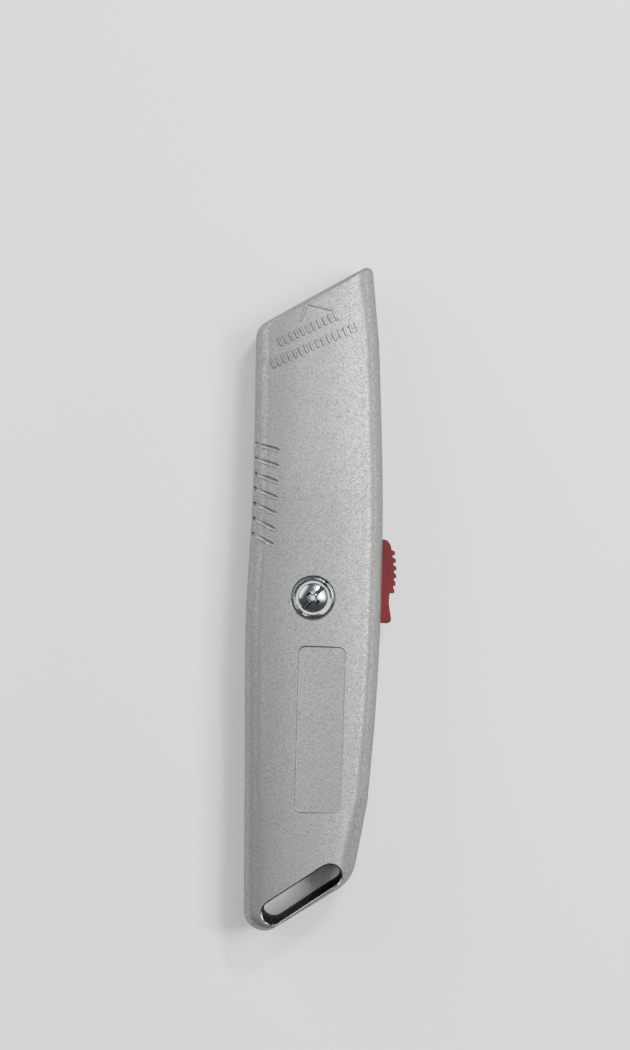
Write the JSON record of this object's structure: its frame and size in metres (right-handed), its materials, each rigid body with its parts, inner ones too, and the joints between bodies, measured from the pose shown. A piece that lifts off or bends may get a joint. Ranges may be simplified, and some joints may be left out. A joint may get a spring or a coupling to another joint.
{
  "type": "retractable utility knife",
  "caption": "Retractable utility knife: a cast metal handle in halves held by a screw, a blade carriage slid by a thumb button, and spare blades in the tail.",
  "frame": {"origin": "on the flat rear face, on the axis of the body screw", "axes": "+X towards the thumb button on the spine, +Y towards the nose where the blade comes out, +Z out of the front face with the screw head"},
  "size_m": [0.0343, 0.1525, 0.02],
  "materials": {
    "cast_shell": "silver-grey textured paint on die-cast metal",
    "screw": "bright plated",
    "button": "semi-gloss moulded",
    "carrier": "zinc-plated stamping",
    "blade": "ground and oiled",
    "spring": "blued spring strip"
  },
  "bodies": {
    "handle": {"front_shell": "cast_shell", "rear_shell": "cast_shell", "body_screw": "screw", "spare_blade_clip": "spring", "spare_blade_1": "blade", "spare_blade_2": "blade", "spare_blade_3": "blade", "spare_blade_4": "blade", "spare_blade_5": "blade"},
    "carriage": {"blade_carrier": "carrier", "blade_stud": "carrier", "leaf_spring": "spring", "spring_rivet_1": "carrier", "spring_rivet_2": "carrier", "cutting_blade": "blade"},
    "button": {"thumb_button": "button"}
  },
  "joints": [
    {"name": "blade_slide", "type": "slide", "parent": "handle", "child": "carriage", "axis": [0, 1, 0], "range_m": [0, 0.028]},
    {"name": "button_press", "type": "slide", "parent": "carriage", "child": "button", "axis": [-1, 0, 0], "range_m": [0, 0.0015], "stiffness_N_per_m": 2700, "deforming": ["leaf_spring"]}
  ]
}
